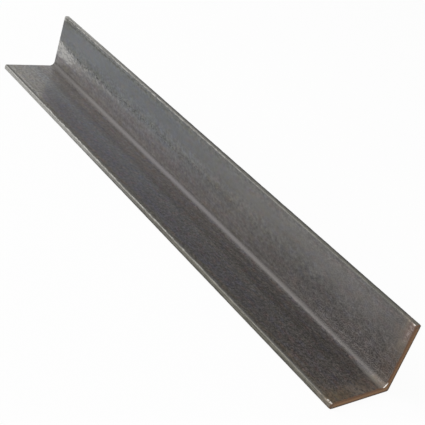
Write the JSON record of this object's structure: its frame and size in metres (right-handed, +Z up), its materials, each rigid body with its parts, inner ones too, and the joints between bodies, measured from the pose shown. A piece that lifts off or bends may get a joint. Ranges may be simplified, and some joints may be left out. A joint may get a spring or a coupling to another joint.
{
  "type": "steel angle section",
  "caption": "Length of hot-rolled equal-leg steel angle with a rounded root and square sawn ends, for frames, brackets and edge supports.",
  "frame": {"origin": "on the ground under the middle of the bar, halfway across the flat leg", "axes": "+X along the bar, +Y across the flat leg from its toe to the heel, +Z up along the upright leg"},
  "size_m": [0.34, 0.04, 0.04],
  "materials": {
    "hot_rolled_steel": "dark mill scale with rust at the sawn ends"
  },
  "bodies": {
    "root": {"angle_bar": "hot_rolled_steel"}
  },
  "joints": []
}
